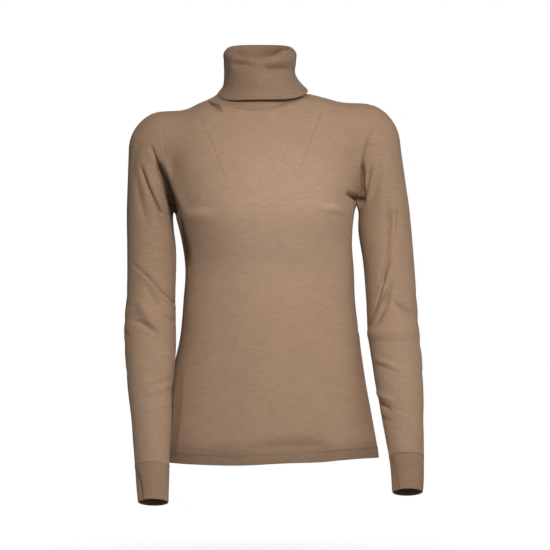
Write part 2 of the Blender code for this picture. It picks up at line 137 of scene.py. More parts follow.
# Arm sections: centre (x, y), half width and half depth at each height.
RIGHT_ARM = table(
    "height across depth half_width half_depth",
    (-660, -165, -111, 22, 24), (-629, -166.7, -101, 22.7, 25),
    (-599, -168.1, -91, 24.7, 26.5), (-574, -169, -83, 26, 28),
    (-540, -170, -73, 28.4, 31), (-509, -170.6, -65, 30.4, 33),
    (-464, -173.6, -53, 33.4, 36), (-433, -173.6, -45, 36.4, 39),
    (-402, -173.8, -37, 39.2, 42), (-354, -175.2, -24, 40, 44),
    (-322, -174.6, -16, 38.2, 44), (-243, -174.4, 0, 37.9, 46),
    (-180, -177.5, 5, 35.6, 47), (-130, -170.5, 5, 41, 49),
    (-85, -160, 4, 49.5, 52), (0, -156, 4, 52, 52),
)
LEFT_ARM = table(
    "height across depth half_width half_depth",
    (-660, 222.5, -112, 21.6, 23.6), (-623, 224.3, -99, 22.4, 25),
    (-599, 225, -92, 23.9, 26.5), (-569, 224.3, -82, 25.7, 28),
    (-540, 222.2, -72, 28.7, 31), (-509, 219.1, -62, 31.4, 33),
    (-479, 216.8, -54, 34.4, 36), (-448, 213.6, -46, 37, 39),
    (-417, 211.1, -38, 38.7, 42), (-386, 207.6, -30, 39.6, 44),
    (-322, 203.8, -16, 38.9, 44), (-259, 199.7, -2, 39.4, 46),
    (-211, 194.8, 4, 41.2, 47), (-180, 193.5, 5, 39.6, 48),
    (-130, 182, 5, 43.5, 49), (-75, 166, 4, 51.5, 52),
    (0, 162, 4, 53.5, 52),
)
ARMS = {"right": RIGHT_ARM, "left": LEFT_ARM}

# Where each arm's rounded head starts, its rise, and the rise that sets its rough distance.
SLEEVE_CAP = {"right": (-85.0, 58.0), "left": (-75.0, 59.0)}
HEAD_RISE = 58.0

# The height below which trunk and arms are apart, and how widely they blend: the least, and what
# is added between two heights.
UNDERARM_REACH = -240.0
BLEND_LEAST = 0.5
BLEND_ADDED = ((UNDERARM_REACH, -205.0, 12.5), (-160.0, -80.0, 13.0))


def oval(dx, dy, half_width, half_depth, power=2.0, lift=0.0):
    """Rough distance from an oval: (size - 1) over its slope, where size is the scaled radius.

    lift is the square of how far up a rounded head the point is, and 0 below it.
    """
    flat = np.abs(dx / half_width) ** power + np.abs(dy / half_depth) ** power
    size = (flat + lift) ** (1 / power)
    slope = np.hypot(dx / half_width**2, dy / half_depth**2)
    slope = np.hypot(slope, np.sqrt(lift) / HEAD_RISE)
    return (size - 1) * np.maximum(size, 1e-6) / np.maximum(slope, 1e-6)


def trunk(points):
    """Rough distance from the trunk: its column of sections under the sloping shoulder roof."""
    x, y, z = np.moveaxis(points, -1, 0)
    right, left = curve(TRUNK, "right", z), curve(TRUNK, "left", z)
    half_depth = np.where(y < 0, -curve(TRUNK, "front", z), curve(TRUNK, "back", z))
    column = oval(x - (left + right) / 2, y, (left - right) / 2, half_depth, SQUARENESS)
    over = (z - curve(SHOULDER_LINE, "height", x)) / ROOF_HEIGHT + 1
    roof = np.hypot(y / (half_depth + ROOF_OVERHANG), np.maximum(over, 0)) - 1 + np.minimum(over, 0)
    under_roof = -smooth_min(-column, -roof * ROOF_HEIGHT, ROOF_ROUNDING)
    forward = y - SHOULDER_DEPTH - NECK_TILT * z
    neck = oval(x - NECK_MIDDLE, forward, NECK_HALF_WIDTH, NECK_HALF_DEPTH)
    return smooth_min(under_roof, np.maximum(neck, z - NECK_TOP), NECK_ROUNDING)


def arm(side, points):
    """Rough distance from one arm: a tube of oval sections with a rounded head."""
    rows = ARMS[side]
    cap_height, cap_rise = SLEEVE_CAP[side]
    x, y, z = np.moveaxis(points, -1, 0)
    return oval(
        x - curve(rows, "across", z),
        y - curve(rows, "depth", z),
        curve(rows, "half_width", z),
        curve(rows, "half_depth", z),
        lift=(np.maximum(z - cap_height, 0.0) / cap_rise) ** 2,
    )


def worn_form(points):
    """Rough distance from trunk and arms together, closely joined underarm and softly above."""
    blend = BLEND_LEAST
    for low, high, added in BLEND_ADDED:
        blend = blend + added * ease(low, high, points[..., 2])
    joined = smooth_min(trunk(points), arm("right", points), blend)
    return smooth_min(joined, arm("left", points), blend)


def panel_form(points):
    """The form that front and back lie on: the trunk alone below the underarms."""
    return np.where(points[..., 2] > UNDERARM_REACH, worn_form(points), trunk(points))


MEETING_STEPS = 34


def meet(form, start, direction):
    """Where rays that start inside a form leave it, by steps of 0.8 of the rough distance."""
    direction = unit(direction)
    reach = np.zeros(np.broadcast(start, direction).shape[:-1])
    for _ in range(MEETING_STEPS):
        reach = reach - 0.8 * form(start + reach[..., None] * direction)
    return start + reach[..., None] * direction


def outward(form, points):
    """Unit normals of a form, from its slope over a millimetre along each axis."""
    steps = 0.5 * np.eye(3)
    return unit(np.stack([form(points + s) - form(points - s) for s in steps], axis=-1))


# Cells along half the neckline, a shoulder seam, half an armhole and a side seam.
NECK_COLUMNS = 124
SHOULDER_COLUMNS = 30
ARMHOLE_ROWS = 60
SIDE_ROWS = 165

# The neckline seam's edges (x or y) and heights. Rays to it start below it, and higher behind.
NECKLINE = {"front": -67.0, "right": -84.0, "left": 82.0, "back": 55.0}
NECK_HEIGHT = {"front": -31.0, "right": -6.5, "left": 1.5, "back": 12.0}
NECK_RAY_DROP = 45.0
BACK_RAY_RISE = 35.0


def ring_turn(first, count):
    """Even angles once round a ring, from its first one."""
    return first + 2 * np.pi * np.arange(count) / count


def round_height(sine, cosine, front, side, back):
    """Height round a ring that is given at its front, its sides and its back."""
    middle = (front + back) / 2
    return middle + (back - front) / 2 * sine + (side - middle) * cosine**2


def neckline():
    """The neckline seam: rays aimed outwards and up from an oval inside the neck."""
    turn = ring_turn(np.pi, 2 * NECK_COLUMNS)
    cosine, sine = np.cos(turn), np.sin(turn)
    across = np.where(cosine < 0, NECKLINE["right"], -NECKLINE["left"]) * -cosine
    depth = np.where(sine < 0, -NECKLINE["front"], NECKLINE["back"]) * sine
    side = np.where(cosine < 0, NECK_HEIGHT["right"], NECK_HEIGHT["left"])
    height = round_height(sine, cosine, NECK_HEIGHT["front"], side, NECK_HEIGHT["back"])
    drop = NECK_RAY_DROP - BACK_RAY_RISE * np.maximum(sine, 0)
    middle = as_points(NECK_MIDDLE, SHOULDER_DEPTH, height - drop)
    aside = as_points(across, depth, 0.0) / 2
    return meet(worn_form, middle + aside, aside + as_points(0.0, 0.0, drop))


# Each armhole seam's x by its angle: -90 at the underarm, 0 in front or behind, 90 at the top. Its
# lower half leans outwards in front and inwards behind, along the crease under the arm.
ARMHOLE = {
    "right": table("angle across", (-90, -139), (-60, -142), (-30, -147), (0, -151), (90, -155)),
    "left": table(
        "angle across", (-90, 149), (-70, 150.5), (-30, 155), (0, 160), (45, 169), (90, 171)
    ),
}
ARMHOLE_HEIGHT = -97.0
ARMHOLE_LEAN = 2.6


def armhole(side):
    """One armhole seam as a closed ring, from its top down the front and up the back."""
    turn = ring_turn(np.pi / 2, 2 * ARMHOLE_ROWS)
    tilt = np.degrees(np.arcsin(np.sin(turn)))
    across = curve(ARMHOLE[side], "across", tilt)
    across += np.sign(across) * ARMHOLE_LEAN * np.cos(turn) * np.minimum(np.sin(turn), 0)
    start = as_points(across, SHOULDER_DEPTH, ARMHOLE_HEIGHT)
    return meet(worn_form, start, as_points(0.0, np.cos(turn), np.sin(turn)))


def unroll(points, facing):
    """Distance across and height on the trunk unrolled; facing is -1 in front and 1 behind."""
    x, y, z = np.moveaxis(points, -1, 0)
    level = np.minimum(z, CAP_HEIGHT)
    half_length = curve(CROSS_PIECE, "half_length", level)
    middle = np.clip(x - TRUNK_MIDDLE, -half_length, half_length)
    aside, forward = x - TRUNK_MIDDLE - middle, facing * (y - SHOULDER_DEPTH)
    bearing = np.arctan2(aside, np.maximum(forward, 0.0))
    tilt = np.arctan2(np.maximum(z - CAP_HEIGHT, 0.0), np.hypot(aside, forward))
    return as_points(middle + SIDE_SPREAD * bearing, level + CAP_SPREAD * tilt)


def roll_up(flat, facing):
    """The points of the panels' form whose unrolled places are given."""
    across, height = np.moveaxis(flat, -1, 0)
    level = np.minimum(height, CAP_HEIGHT)
    tilt = (height - level) / CAP_SPREAD
    half_length = curve(CROSS_PIECE, "half_length", level)
    middle = np.clip(across, -half_length, half_length)
    bearing = (across - middle) / SIDE_SPREAD
    start = as_points(TRUNK_MIDDLE + middle, SHOULDER_DEPTH, level)
    forward = facing * np.cos(bearing) * np.cos(tilt)
    aside = np.sin(bearing) * np.cos(tilt)
    return meet(panel_form, start, as_points(aside, forward, np.sin(tilt)))


# The welt's lower edge along each panel, from -1 at the right side seam to 1 at the left.
HEM = table(
    "share front back",
    (-1, -574.5, -574.5), (-0.33, -574.8, -573), (0.1, -571.5, -572),
    (0.43, -570.5, -571), (0.72, -567.5, -571), (1, -571, -571),
)
WELT_HEIGHT = 16.0

# How many degrees forward each side seam drifts, and the share of its length where it starts.
SIDE_SEAM_FORWARD = {"right": 22.0, "left": 3.0}
SIDE_SEAM_DRIFT = 0.3


def side_seam(side, underarm):
    """The side seam from the underarm down to the welt, drifting forward as it goes."""
    sign = -1 if side == "right" else 1
    hem = curve(HEM, "front", sign) + WELT_HEIGHT
    share = np.arange(1, SIDE_ROWS + 1) / SIDE_ROWS
    height = underarm[2] + share * (hem - underarm[2])
    bearing = np.pi / 2 - np.radians(SIDE_SEAM_FORWARD[side]) * ease(SIDE_SEAM_DRIFT, 1, share)
    across = curve(CROSS_PIECE, "half_length", height) + SIDE_SPREAD * bearing
    return roll_up(as_points(sign * across, height), -1)


def shoulder_seam(neck_point, top):
    """The points of a shoulder seam between the neckline and the armhole's top."""
    share = np.arange(1, SHOULDER_COLUMNS) / SHOULDER_COLUMNS
    across = neck_point[0] + share * (top[0] - neck_point[0])
    start = as_points(across, SHOULDER_DEPTH, CAP_HEIGHT)
    return meet(worn_form, start, np.array([0.0, 0.0, 1.0]))


# Columns beside the neck lean outwards below it, clear of the neckline's steep ends: by how much,
# and the shares of the panel's length between which they lean fully.
NECK_LEAN = 22.0
LEAN_FROM = 0.2
LEAN_TO = 0.5


def fill(right, left, top, bottom, facing):
    """A panel's grid: its four edges blended in the unrolled plane and put back on the form.

    Each point is the sum of the two edge-to-edge blends less the blend of the corners.
    """
    edges = [unroll(edge, facing) for edge in (right, left, top, bottom)]
    flat_right, flat_left, flat_top, flat_bottom = edges
    u = np.linspace(0, 1, len(top))[None, :, None]
    v = np.linspace(0, 1, len(right))[:, None, None]
    across = (1 - u) * flat_right[:, None] + u * flat_left[:, None]
    down = (1 - v) * flat_top[None] + v * flat_bottom[None]
    top_corners = (1 - u) * flat_top[0] + u * flat_top[-1]
    bottom_corners = (1 - u) * flat_bottom[0] + u * flat_bottom[-1]
    flat = across + down - ((1 - v) * top_corners + v * bottom_corners)
    shoulder = SHOULDER_COLUMNS / (len(top) - 1)
    middle = np.minimum(u, 1 - u)
    beside_neck = ease(0, shoulder, middle) * (1 - ease(shoulder, 0.5, middle))
    below = np.sin(np.pi / 2 * np.minimum(v / LEAN_FROM, 1)) * (1 - ease(LEAN_TO, 1, v))
    flat[..., 0] += (NECK_LEAN * np.sign(u - 0.5) * beside_neck * below)[..., 0]
    grid = roll_up(flat, facing)
    grid[:, 0], grid[:, -1], grid[0], grid[-1] = right, left, top, bottom
    return grid, flat


def panel(facing, neck, right_ring, left_ring):
    """A panel's grid from its four edges: top seams, sides and the line of its welt."""
    if facing > 0:
        rings = (neck, right_ring, left_ring)
        neck, right_ring, left_ring = (np.roll(ring[::-1], 1, axis=0) for ring in rings)
    neck = neck[: NECK_COLUMNS + 1]
    right_shoulder = shoulder_seam(neck[0], right_ring[0])[::-1]
    left_shoulder = shoulder_seam(neck[-1], left_ring[0])
    top = np.concatenate([right_ring[:1], right_shoulder, neck, left_shoulder, left_ring[:1]])
    right, left = (
        np.concatenate([ring[: ARMHOLE_ROWS + 1], side_seam(side, ring[ARMHOLE_ROWS])])
        for side, ring in (("right", right_ring), ("left", left_ring))
    )
    ends = unroll(np.stack([right[-1], left[-1]]), facing)
    share = np.linspace(-1, 1, len(top))
    across = ends[0, 0] + (share + 1) / 2 * (ends[1, 0] - ends[0, 0])
    height = curve(HEM, "front" if facing < 0 else "back", share) + WELT_HEIGHT
    bottom = roll_up(as_points(across, height), facing)
    bottom[0], bottom[-1] = right[-1], left[-1]
    return fill(right, left, top, bottom, facing)


# Creases that show from the front: a path through three points (x, z), how far it reaches to each
# side, its depth (a ridge where negative), a lip as a share of the depth on the path's left
# (or right where negative), and 1 where it stays full to its last end, else 0.
CREASE = "x0 z0 x1 z1 x2 z2 reach depth lip full"
FRONT_CREASES = table(
    CREASE,
    # beside the neckline: a deep tuck on the right and a smudge on the left
    (-86, -6, -76, -15, -63, -27, 4.4, 6, 0, 0),
    (62, -16, 74, -24, 88, -33, 6, 1.8, 0, 0),
    # light tension across the bust, a line at the waist and hollows over the welt
    (-122, -188, -100, -192, -66, -190, 8, -1.8, 0, 0),
    (74, -176, 100, -181, 124, -185, 6, -2, 0, 0),
    (100, -186, 116, -190, 130, -194, 4, 1.2, 0, 0),
    (-26, -165, 13, -168, 59, -165, 3, 0.5, 0, 0),
    (-45, -175, 1, -180, 50, -177, 3, 0.6, 0, 0),
    (-56, -186, -10, -192, 36, -188, 3, 0.5, 0, 0),
    (-102, -353, 5, -357, 128, -353, 3.5, 0.35, 0, 0),
    (-110, -553, 20, -549, 140, -552, 14, 2, 0, 0),
    (-40, -553, 52, -546, 114, -553, 12, 6.5, 0, 0),
    (-120, -554.5, 30, -551.5, 170, -548.5, 2.2, -0.8, 0, 0),
    # down the right side: cloth drawn in under the arm, and a fold beside the side seam
    (-127, -184, -122, -221, -113, -276, 5, 9, 0, 0),
    (-126, -420, -131, -488, -140, -562, 5, 0.8, 0, 1),
    (-118, -410, -122, -488, -130, -556, 3.5, -0.8, 0, 1),
    # under the left arm: a dimple running in from the chest
    (126, -156, 142, -161, 156, -169, 4.4, 8, 0, 1),
    # in front of the right armhole: a deep wedge widening to the underarm with a lit edge, then
    # two softer folds with ridges between them
    (-175, -82, -164, -105, -142, -172, 2.8, 5, 0, 1),
    (-166, -100, -152, -134, -137, -182, 5.4, 13, 0, 1),
    (-156, -96, -138, -136, -120, -180, 7, -4, 0, 1),
    (-191, -106, -179, -142, -158, -186, 2.8, 5, 0, 1),
    (-184, -100, -171, -142, -154, -184, 5, -2.8, 0, 1),
    (-198, -112, -191, -162, -174, -226, 5, 2.2, 0, 0),
    (-190, -128, -174, -172, -160, -226, 6.5, -2.2, 0, 0),
    # over the left sleeve head, down the armhole to the underarm, and folds outside it
    (171, -30, 172, -52, 169, -68, 2.6, 1.8, 0, 1),
    (170, -62, 163, -84, 157, -106, 2.8, 3.6, -0.3, 1),
    (157, -98, 158, -132, 157, -166, 3.2, 8.5, 0, 1),
    (170, -108, 167, -136, 158, -172, 2.6, 3.4, -0.4, 1),
    (190, -92, 180, -136, 164, -190, 5, 2.6, -0.4, 0),
    (197, -100, 190, -150, 182, -210, 6, -2, 0, 0),
    # right sleeve: the fold down to the inner elbow, a broad ridge and the trough under it,
    # then short ones on the forearm
    (-210, -256, -188, -277, -166, -297, 2.6, 1, 0, 0),
    (-192, -273, -164, -298, -136, -328, 2.6, 3, -0.6, 1),
    (-184, -296, -170, -318, -148, -346, 5, 2.8, 0, 0),
    (-190, -318, -176, -347, -142, -390, 7.5, -5, 0, 0),
    (-206, -354, -180, -361, -150, -384, 4.2, 4, 0, 0),
    (-154, -346, -146, -350, -134, -356, 2.8, 2.6, 0, 1),
    (-216, -371, -210, -375, -202, -378, 3, 1.8, 0, 0),
    (-196, -418, -176, -412, -150, -402, 5, 1, 0, 0),
    (-180, -456, -162, -451, -142, -445, 3, 1.3, 0.3, 1),
    (-193, -476, -168, -470, -142, -461, 3, 1.4, 0.3, 1),
    (-188, -500, -162, -493, -142, -486, 3, 1.1, 0.3, 1),
    (-186, -540, -170, -546, -154, -540, 7, -1, 0, 0),
    # left sleeve: two long soft folds running in to the elbow, the bunch of creases where they
    # meet, the full elbow under it and creases that ring the forearm
    (194, -142, 198, -220, 188, -292, 4.2, 5, 0.2, 1),
    (212, -160, 210, -214, 194, -276, 3.6, 2.2, 0.2, 1),
    (204, -170, 204, -216, 192, -276, 5, -1.8, 0, 0),
    (192, -266, 183, -312, 166, -356, 2.8, 4.2, 0.3, 0),
    (205, -284, 194, -314, 172, -348, 2.6, 3.6, 0.3, 0),
    (202, -304, 188, -336, 166, -372, 5, 6, 0, 0),
    (200, -322, 220, -336, 246, -352, 5, 6, 0, 0),
    (146, -384, 196, -371, 250, -378, 9, -4.2, 0, 0),
    (168, -384, 194, -386, 236, -385, 2.4, 0.9, 0, 0),
    (170, -413, 191, -418, 214, -429, 3.6, -2.4, 0, 0),
    (170, -420, 194, -428, 216, -436, 2.4, 1.2, 0, 0),
    (172, -460, 189, -471, 210, -480, 4.2, -3, 0, 0),
    (172, -472, 188, -484, 204, -493, 3.8, 4.4, 0, 0),
    (194, -484, 214, -491, 240, -496, 2.6, 1.1, 0, 0),
    (196, -490, 214, -497, 238, -502, 2.6, -1, 0, 0),
    (180, -500, 192, -506, 206, -509, 3.2, 1.8, 0, 0),
    (190, -516, 206, -522, 226, -520, 5, 1, 0, 0),
    (202, -552, 219, -549, 238, -552, 7, -2.4, 0, 0),
    # a pressed fold down the side of each cuff, and the line of its hem
    (-196, -580, -187, -602, -184, -632, 4, 3.4, 0, 1),
    (200, -556, 203, -583, 208, -612, 4, 2.2, 0, 1),
    (208, -597, 222, -600, 242, -597, 2.5, 0.6, 0, 1),
    (-184, -612, -168, -615, -146, -612, 2.5, 0.6, 0, 1),
)

# Creases that show from the back: the same columns.
BACK_CREASES = table(
    CREASE,
    (-170, -80, -156, -120, -140, -176, 4, 3.2, 0.3, 1),
    (-186, -110, -174, -150, -150, -205, 4, 2, 0.3, 1),
    (174, -76, 164, -118, 152, -172, 4, 3.2, -0.3, 1),
    (190, -104, 180, -146, 160, -190, 4, 1.8, -0.3, 1),
    (-120, -150, -92, -190, -70, -232, 6, 0.9, 0, 0),
    (132, -146, 104, -190, 84, -236, 6, 0.9, 0, 0),
    (-96, -268, 8, -282, 110, -270, 5, 0.9, 0.3, 0),
    (-108, -300, -20, -312, 66, -302, 5, 0.8, 0.3, 0),
    (-60, -326, 24, -336, 120, -324, 5, 0.7, 0, 0),
    (-64, 2, 0, -10, 60, 4, 5, 0.9, 0, 0),
    (-204, -300, -180, -330, -146, -352, 4, 1.6, 0.3, 1),
    (-200, -372, -176, -384, -146, -392, 4, 1.4, 0.3, 1),
    (230, -306, 206, -334, 174, -352, 4, 1.6, 0.3, 1),
    (232, -380, 208, -394, 180, -402, 4, 1.4, 0.3, 1),
    (232, -440, 212, -450, 188, -456, 3, 0.9, 0.3, 1),
)

# Creases on the outer side of each sleeve: paths through (y, z).
OUTER_CREASES = table(
    CREASE,
    (-44, -60, -30, -96, -22, -150, 6, 1.2, 0, 0),
    (34, -84, 24, -128, 20, -176, 7, 1, 0, 0),
    (-30, -304, 0, -326, 26, -334, 7, 1.3, 0, 0),
    (-44, -344, -14, -362, 14, -368, 8, 1.6, 0, 0),
    (-50, -384, -24, -396, 2, -400, 7, 1.2, 0, 0),
    (-60, -430, -36, -440, -10, -444, 6, 1, 0, 0),
)

# A crease's path has so many segments and fades over this share of its length at its ends. Its
# lip lies so many reaches beside it and is so many wide.
SEGMENTS = 12
FADE = 0.35
LIP_PLACE = 2.0
LIP_REACH = 1.2

# The bust's fullness: where it is, how far it stands out and how far it reaches each way.
BUST_MIDDLES = (-82.0, 97.0)
BUST_HEIGHT = -186.0
BUST_RISE = 6.0
BUST_REACH = {"aside": 46.0, "up": 56.0, "down": 36.0}

# How far cloth faces a side (its normal's share) where that side's creases start and are full,
# how far out the sleeves' own start, and the height of a slow waver.
FACING = (-0.15, 0.3)
FACING_OUT = (0.3, 0.8)
SLEEVES_FROM = 150.0
WAVER = 0.35

# The depth and reach of the seams' grooves, and of the ridge along linked edges.
NECK_SEAM = (0.9, 1.4)
ARMHOLE_SEAM = (0.45, 1.8)
LINKED_EDGE = (-0.5, 1.4)


def nearest(points, path):
    """Each point's distance from a path, the share along it, and on which side it lies (2-D)."""
    step = np.diff(path, axis=0)
    offset = points[:, None] - path[:-1]
    on = np.clip(np.sum(offset * step, axis=-1) / np.sum(step**2, axis=-1), 0, 1)
    gap = offset - on[..., None] * step
    distance = np.linalg.norm(gap, axis=-1)
    closest = np.argmin(distance, axis=-1)
    pick = (np.arange(len(points)), closest)
    turn = step[closest, 0] * gap[pick][:, 1] - step[closest, 1] * gap[pick][:, 0]
    return distance[pick], (closest + on[pick]) / len(step), np.sign(turn)


def beside(points, path, margin):
    """Which points lie within a margin of a path's box."""
    low, high = path.min(axis=0) - margin, path.max(axis=0) + margin
    return np.flatnonzero(np.all((points > low) & (points < high), axis=-1))


def pressed(across, height, rows):
    """Relief of creases over a flat view: each is a bell-shaped trough along its curved path.

    Depth x taper x (lip's bell - exp(-(distance / reach)^2)).
    """
    flat = as_points(across, height).reshape(-1, 2)
    relief = np.zeros(len(flat))
    share = np.linspace(0, 1, SEGMENTS + 1)[:, None]
    for x0, z0, x1, z1, x2, z2, reach, depth, lip, full_end in zip(*rows.values()):
        first, middle, last = np.array([(x0, z0), (x1, z1), (x2, z2)])
        bend = 2 * middle - (first + last) / 2
        path = (1 - share) ** 2 * first + 2 * share * (1 - share) * bend + share**2 * last
        near = beside(flat, path, 5 * reach)
        distance, along, side = nearest(flat[near], path)
        taper = ease(0, FADE, along)
        if not full_end:
            taper = taper * (1 - ease(1 - FADE, 1, along))
        bell = -np.exp(-((distance / reach) ** 2))
        beyond_lip = side * distance - np.sign(lip) * LIP_PLACE * reach
        bell += abs(lip) * np.exp(-((beyond_lip / (LIP_REACH * reach)) ** 2))
        relief[near] += depth * taper * bell
    return relief.reshape(across.shape)


def relief(points, normals):
    """How far the cloth stands off the plain form: fullness, creases of each side and a waver."""
    x, y, z = np.moveaxis(points, -1, 0)
    front, back = ease(*FACING, -normals[..., 1]), ease(*FACING, normals[..., 1])
    outer = ease(*FACING_OUT, np.sign(x) * normals[..., 0]) * (np.abs(x) > SLEEVES_FROM)
    height = pressed(x, z, FRONT_CREASES) * front
    height += pressed(x, z, BACK_CREASES) * back
    height += pressed(y, z, OUTER_CREASES) * outer
    reach_z = np.where(z > BUST_HEIGHT, BUST_REACH["up"], BUST_REACH["down"])
    for middle in BUST_MIDDLES:
        off_x, off_z = (x - middle) / BUST_REACH["aside"], (z - BUST_HEIGHT) / reach_z
        height += BUST_RISE * np.exp(-(off_x**2) - off_z**2) * front
    waver = np.sin(x / 31 + z / 57) * np.sin(z / 43 - y / 37) + np.sin(x / 17 - z / 71 + 1)
    return height + WAVER * waver


def seamed(points, path, depth, reach):
    """The groove of a seam (a ridge where the depth is negative) along its line of points."""
    flat = points.reshape(-1, 3)
    near = beside(flat, path, 4 * reach)
    groove = np.zeros(len(flat))
    groove[near] = -depth * np.exp(-((nearest(flat[near], path)[0] / reach) ** 2))
    return groove.reshape(points.shape[:-1])


def shell(name, grid, across, along, thickness, closed, material):
    """A closed thin shell: the grid moved half the thickness out and in, with rims between.

    across and along are the cloth's own measures, for its knit, and a point attribute is 1 on
    the inner side, where the knit paints shade.
    """
    rows, columns = grid.shape[:2]
    index = np.arange(rows * columns).reshape(rows, columns)
    if closed:
        around = (np.roll(grid, -1, axis=1) - np.roll(grid, 1, axis=1)) / 2
        index = np.concatenate([index, index[:, :1]], axis=1)
    else:
        around = np.gradient(grid, axis=1)
    offset = unit(np.cross(np.gradient(grid, axis=0), around)) * thickness / 2
    points = np.stack([grid + offset, grid - offset]).reshape(-1, 3) * MM
    under = index + rows * columns
    cloth = np.arange(across.size).reshape(across.shape)

    def cells(grid_index):
        upper, lower = grid_index[:-1], grid_index[1:]
        corners = (upper[:, :-1], lower[:, :-1], lower[:, 1:], upper[:, 1:])
        return np.stack(corners, axis=-1).reshape(-1, 4)

    faces = [cells(index), cells(under)[:, ::-1]]
    places = [cells(cloth), cells(cloth)[:, ::-1]]
    rims = [(index[0], under[0], cloth[0], False), (index[-1], under[-1], cloth[-1], True)]
    if not closed:
        rims.append((index[:, 0], under[:, 0], cloth[:, 0], True))
        rims.append((index[:, -1], under[:, -1], cloth[:, -1], False))
    for top, bottom, place, flip in rims:
        rim = np.stack([top[:-1], top[1:], bottom[1:], bottom[:-1]], axis=-1)
        on = np.stack([place[:-1], place[1:], place[1:], place[:-1]], axis=-1)
        faces.append(rim[:, ::-1] if flip else rim)
        places.append(on[:, ::-1] if flip else on)
    faces, places = np.concatenate(faces), np.concatenate(places)
    mesh = bpy.data.meshes.new(name)
    mesh.from_pydata(points, [], faces)
    measure = as_points(across, along).reshape(-1, 2)[places.ravel()]
    layer = mesh.uv_layers.new(name="cloth")
    layer.data.foreach_set("uv", measure.astype(np.float32).ravel())
    inside_shade = mesh.attributes.new("inside_shade", "FLOAT", "POINT")
    inside_shade.data.foreach_set("value", np.repeat([0.0, 1.0], rows * columns).astype(np.float32))
    mesh.materials.append(material)
    mesh.shade_smooth()
    mesh.set_sharp_from_angle(angle=np.radians(60))
    piece = bpy.data.objects.new(name, mesh)
    bpy.context.scene.collection.objects.link(piece)
    return piece


# The jersey's stitch columns and rows, and how much darker its inner side is painted, as shade
# inside the garment.
JERSEY_WALE = 1.3
COURSE = 1.0
INSIDE_SHADE = 0.6

# Uneven yarn: how fast it changes across and along the cloth, per millimetre, and how strongly it
# shows, as streaks along the rows, a grain and a mottle.
YARN = ((0.07, 0.5, 0.44), (0.4, 0.6, 0.38), (0.03, 0.05, 0.16))

# How much red, green and blue paler cloth gains.
PALER = (1.0, 1.15, 1.4)
WOOL = {
    "Roughness": 0.85,
    "Specular IOR Level": 0.2,
    "Sheen Weight": 0.08,
    "Sheen Roughness": 0.5,
    "Sheen Tint": (1.0, 0.9, 0.8, 1.0),
}


def add_node(tree, kind, *values, **settings):
    """A new shader node's outputs, with its settings made and its inputs set or linked in order."""
    node = tree.nodes.new("ShaderNode" + kind)
    for name, value in settings.items():
        setattr(node, name, value)
    for socket, value in zip(node.inputs, values):
        if isinstance(value, (int, float)):
            socket.default_value = value
        else:
            tree.links.new(value, socket)
    return node.outputs


